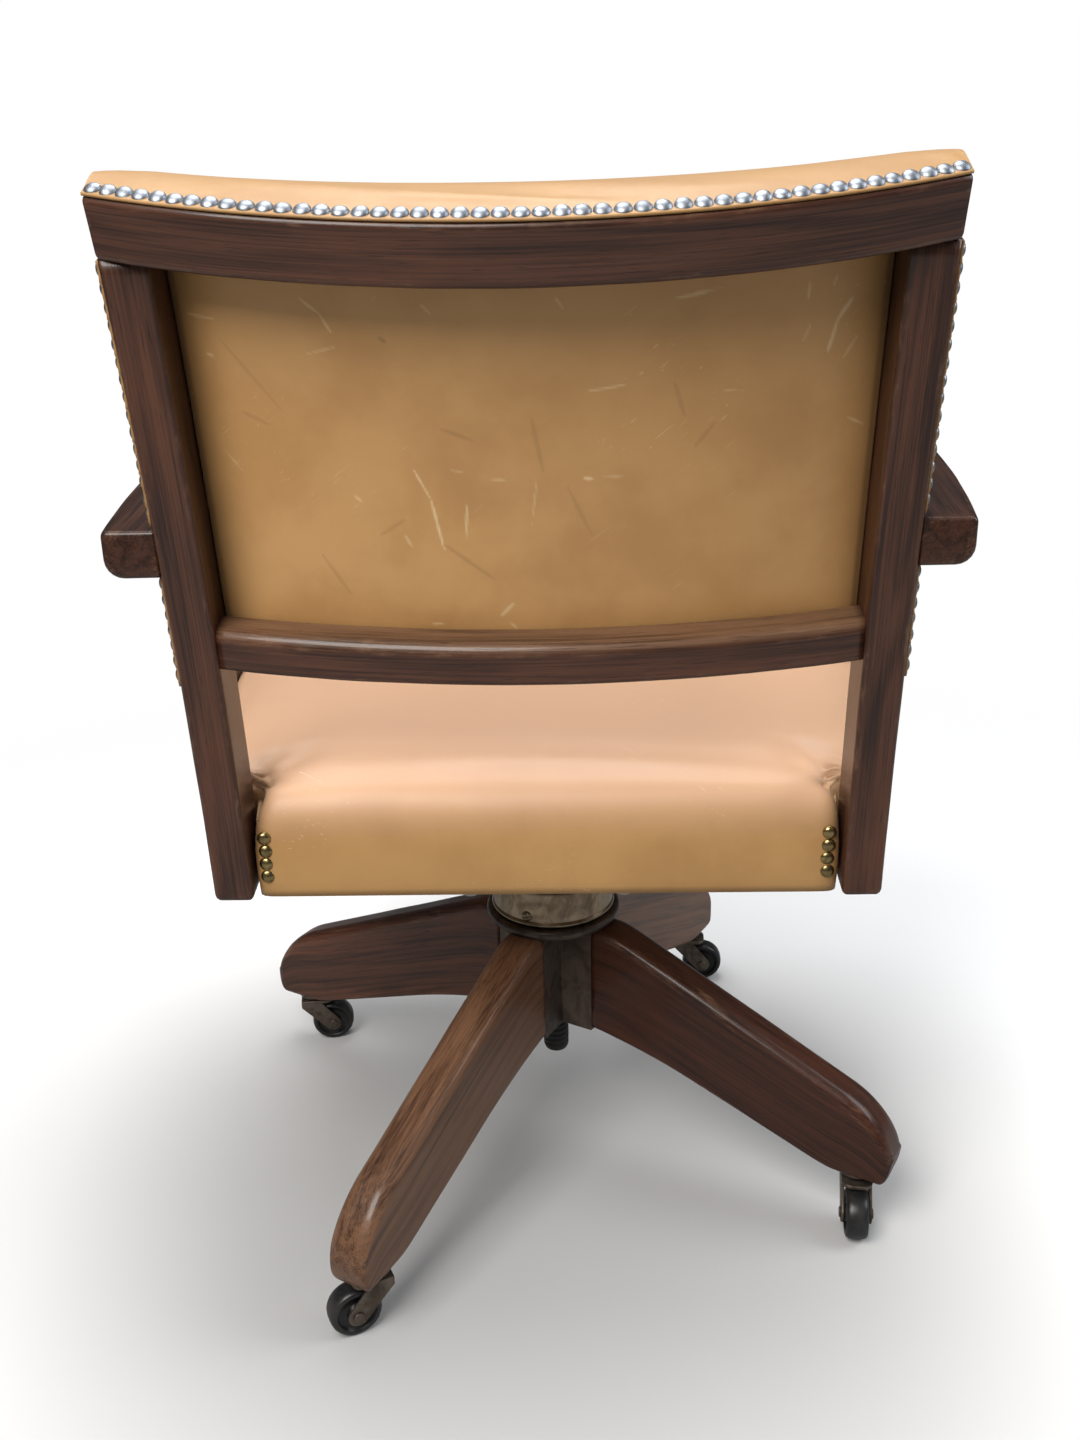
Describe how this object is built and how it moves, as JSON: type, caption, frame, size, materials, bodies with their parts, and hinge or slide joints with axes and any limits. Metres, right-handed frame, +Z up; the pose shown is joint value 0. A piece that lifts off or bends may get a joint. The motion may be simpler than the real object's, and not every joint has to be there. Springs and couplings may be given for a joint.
{
  "type": "office chair",
  "caption": "Swivel desk armchair with a dark oak frame, nailed tan leather seat and back, flared arms, sprung tilt, screw-raised spindle and a cross base on casters.",
  "frame": {"origin": "on the floor, on the axis of the spindle", "axes": "+Z up, the sitter faces -Y, +X is the sitter's left"},
  "size_m": [0.654, 0.6556, 0.8876],
  "materials": {
    "base_oak": "stained and varnished",
    "frame_oak": "stained and varnished",
    "plain_wood": "bare",
    "hub_iron": "worn bronze lacquer",
    "drum_metal": "tarnished",
    "steel": "plain",
    "black_iron": "black lacquer",
    "knob_black": "moulded",
    "caster_steel": "tarnished",
    "wheel_black": "hard composition",
    "dust_cloth": "woven",
    "seat_leather": "worn semi-gloss",
    "back_leather": "worn semi-gloss",
    "nickel": "polished",
    "nail_brass": "antique"
  },
  "bodies": {
    "base": {"hub_casting": "hub_iron", "hub_flange": "hub_iron", "leg_screws": "steel", "thrust_washer": "steel", "leg_rear_left": "base_oak", "leg_rear_right": "base_oak", "leg_front_right": "base_oak", "leg_front_left": "base_oak", "caster_socket_rear_left": "caster_steel", "caster_socket_rear_right": "caster_steel", "caster_socket_front_right": "caster_steel", "caster_socket_front_left": "caster_steel"},
    "nut": {"height_nut": "steel", "nut_drum": "drum_metal", "drum_screws": "steel"},
    "spindle": {"spindle": "steel", "tilt_housing": "black_iron", "tilt_axle": "steel", "tilt_spring": "steel"},
    "knob": {"tension_knob": "knob_black"},
    "fork_rear_left": {"caster_fork_rear_left": "caster_steel", "caster_axle_rear_left": "caster_steel"},
    "wheel_rear_left": {"caster_wheel_rear_left": "wheel_black"},
    "fork_rear_right": {"caster_fork_rear_right": "caster_steel", "caster_axle_rear_right": "caster_steel"},
    "wheel_rear_right": {"caster_wheel_rear_right": "wheel_black"},
    "fork_front_right": {"caster_fork_front_right": "caster_steel", "caster_axle_front_right": "caster_steel"},
    "wheel_front_right": {"caster_wheel_front_right": "wheel_black"},
    "fork_front_left": {"caster_fork_front_left": "caster_steel", "caster_axle_front_left": "caster_steel"},
    "wheel_front_left": {"caster_wheel_front_left": "wheel_black"},
    "seat": {"arm_left": "frame_oak", "arm_right": "frame_oak", "arm_support_left": "frame_oak", "arm_support_right": "frame_oak", "back_board": "plain_wood", "back_cushion": "back_leather", "back_post_left": "frame_oak", "back_post_right": "frame_oak", "crest_leather": "back_leather", "crest_nails": "nickel", "crest_rail": "frame_oak", "dust_cover": "dust_cloth", "frame_bolts": "steel", "iron_screws": "steel", "lower_rail": "frame_oak", "outside_back": "back_leather", "seat_board": "plain_wood", "seat_cushion": "seat_leather", "seat_front_rail": "plain_wood", "seat_iron_left": "black_iron", "seat_iron_right": "black_iron", "seat_nails": "nail_brass", "seat_rear_rail": "plain_wood", "seat_side_rail_left": "plain_wood", "seat_side_rail_right": "plain_wood", "side_leather": "back_leather", "side_nails": "nickel", "tilt_yoke": "black_iron"}
  },
  "joints": [
    {"name": "seat_swivel", "type": "hinge", "parent": "base", "child": "nut", "pos_m": [0, 0, 0.25], "axis": [0, 0, 1], "continuous": true},
    {"name": "height_slide", "type": "slide", "parent": "nut", "child": "spindle", "axis": [0, 0, 1], "range_m": [0, 0.08]},
    {"name": "seat_tilt", "type": "hinge", "parent": "spindle", "child": "seat", "pos_m": [0, -0.046, 0.328], "axis": [-1, 0, 0], "range_deg": [0, 15], "stiffness_Nm_per_rad": 160, "springref_deg": -11.46, "deforming": ["tilt_spring"]},
    {"name": "tension_turn", "type": "hinge", "parent": "spindle", "child": "knob", "pos_m": [0, -0.13, 0.301], "axis": [0, -1, 0], "range_deg": [-540, 540]},
    {"name": "swivel_rear_left", "type": "hinge", "parent": "base", "child": "fork_rear_left", "pos_m": [0.1462, 0.26539, 0.06], "axis": [0, 0, 1], "continuous": true},
    {"name": "roll_rear_left", "type": "hinge", "parent": "fork_rear_left", "child": "wheel_rear_left", "pos_m": [0.16238, 0.27328, 0.022], "axis": [0.4384, -0.8988, 0], "continuous": true},
    {"name": "swivel_rear_right", "type": "hinge", "parent": "base", "child": "fork_rear_right", "pos_m": [-0.26539, 0.1462, 0.06], "axis": [0, 0, 1], "continuous": true},
    {"name": "roll_rear_right", "type": "hinge", "parent": "fork_rear_right", "child": "wheel_rear_right", "pos_m": [-0.26351, 0.1641, 0.022], "axis": [0.9945, -0.1045, 0], "continuous": true},
    {"name": "swivel_front_right", "type": "hinge", "parent": "base", "child": "fork_front_right", "pos_m": [-0.1462, -0.26539, 0.06], "axis": [0, 0, 1], "continuous": true},
    {"name": "roll_front_right", "type": "hinge", "parent": "fork_front_right", "child": "wheel_front_right", "pos_m": [-0.16418, -0.26445, 0.022], "axis": [0.0523, 0.9986, 0], "continuous": true},
    {"name": "swivel_front_left", "type": "hinge", "parent": "base", "child": "fork_front_left", "pos_m": [0.26539, -0.1462, 0.06], "axis": [0, 0, 1], "continuous": true},
    {"name": "roll_front_left", "type": "hinge", "parent": "fork_front_left", "child": "wheel_front_left", "pos_m": [0.24762, -0.14902, 0.022], "axis": [-0.1564, 0.9877, 0], "continuous": true}
  ]
}
